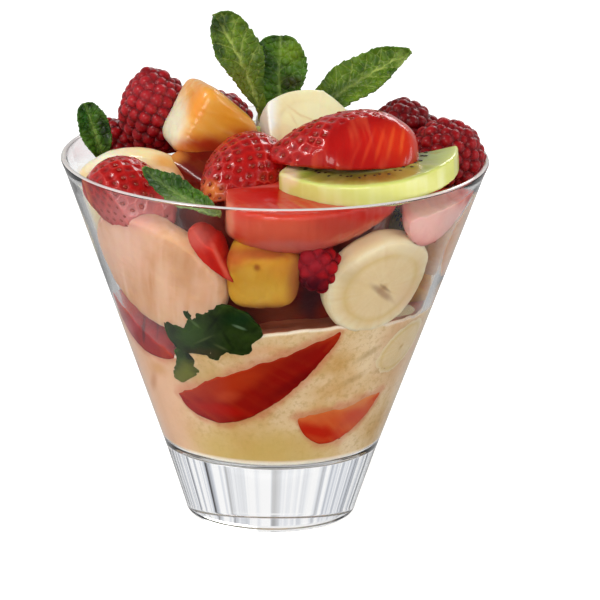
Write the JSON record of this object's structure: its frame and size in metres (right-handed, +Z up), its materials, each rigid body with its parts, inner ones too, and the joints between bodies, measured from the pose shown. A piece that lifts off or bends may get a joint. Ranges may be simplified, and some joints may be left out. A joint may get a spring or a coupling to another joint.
{
  "type": "fruit cup",
  "caption": "Conical glass tumbler with a thick clear foot, layered with vanilla cream and cut fruit and heaped over its rim with berries, kiwi, mango, banana and mint leaves.",
  "frame": {"origin": "centre of the glass's foot, on the table", "axes": "+Z up along the glass's axis; the side in the picture faces -Y, with +X to its right"},
  "size_m": [0.105, 0.105, 0.1263],
  "materials": {
    "glass": "clear, smooth, polished",
    "cream": "thick vanilla cream, satin",
    "fruit_core": "wet, stained with berry juice",
    "strawberry": "glossy skin, wet cut faces",
    "raspberry": "satin drupelets",
    "banana": "soft cut faces, satin",
    "mango": "wet cut faces",
    "peach": "wet, peeled",
    "kiwi": "wet cut faces, dark seeds",
    "mint": "fresh leaves, satin"
  },
  "bodies": {
    "root": {"banana_side_left": "banana", "banana_slice_back": "banana", "banana_slice_in_cream": "banana", "banana_slice_right": "banana", "banana_slice_top_back": "banana", "banana_wedge_top": "banana", "cream": "cream", "fruit_core": "fruit_core", "glass": "glass", "kiwi_in_glass_back": "kiwi", "kiwi_slice": "kiwi", "kiwi_slice_back": "kiwi", "mango_back": "mango", "mango_chunk_back": "mango", "mango_chunk_centre": "mango", "mango_chunk_top": "mango", "mango_in_glass": "mango", "mango_side_left": "mango", "mango_side_right": "mango", "mint_in_cream": "mint", "mint_in_cream_back": "mint", "mint_in_cream_small": "mint", "mint_leaf_back": "mint", "mint_leaf_far_left": "mint", "mint_leaf_middle": "mint", "mint_leaf_right": "mint", "mint_leaf_rim_left": "mint", "mint_leaf_tall": "mint", "peach_side_right": "peach", "peach_slice_left": "peach", "peach_wedge_back": "peach", "peach_wedge_left": "peach", "raspberry_back": "raspberry", "raspberry_back_rim": "raspberry", "raspberry_in_glass": "raspberry", "raspberry_right_back": "raspberry", "raspberry_right_front": "raspberry", "raspberry_rim_left": "raspberry", "raspberry_top_left": "raspberry", "strawberry_back": "strawberry", "strawberry_back_left": "strawberry", "strawberry_back_low": "strawberry", "strawberry_back_right": "strawberry", "strawberry_half_back": "strawberry", "strawberry_half_front": "strawberry", "strawberry_half_right": "strawberry", "strawberry_half_top": "strawberry", "strawberry_in_cream_back": "strawberry", "strawberry_in_cream_front": "strawberry", "strawberry_in_cream_left": "strawberry", "strawberry_in_cream_right": "strawberry", "strawberry_in_cream_side": "strawberry", "strawberry_on_cream_left": "strawberry", "strawberry_piece_centre": "strawberry", "strawberry_rim_left": "strawberry", "strawberry_slice_left": "strawberry", "strawberry_under_kiwi": "strawberry"}
  },
  "joints": []
}
